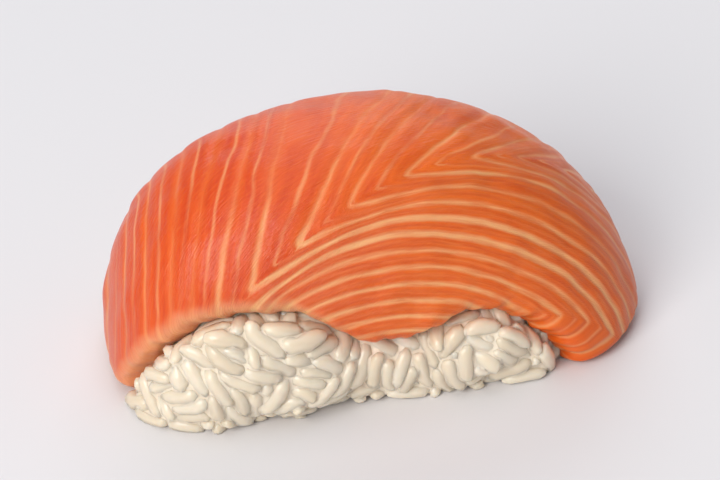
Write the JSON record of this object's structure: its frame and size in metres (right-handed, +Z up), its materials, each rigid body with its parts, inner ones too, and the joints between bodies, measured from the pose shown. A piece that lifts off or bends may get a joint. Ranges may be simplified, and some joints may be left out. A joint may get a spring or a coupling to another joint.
{
  "type": "salmon nigiri",
  "caption": "Hand-pressed block of sushi rice with a slice of raw salmon draped over its top and both ends.",
  "frame": {"origin": "bottom centre of the whole nigiri, on the rice block's flat foot", "axes": "+X along the nigiri, towards the end where the slice hangs widest; -Y towards the side where the slice shows most rice; +Z up"},
  "size_m": [0.0659, 0.0354, 0.0317],
  "materials": {
    "rice": "moist cooked rice grains, soft sheen",
    "salmon": "moist raw salmon with pale fat lines"
  },
  "bodies": {
    "root": {"rice": "rice", "salmon_slice": "salmon"}
  },
  "joints": []
}
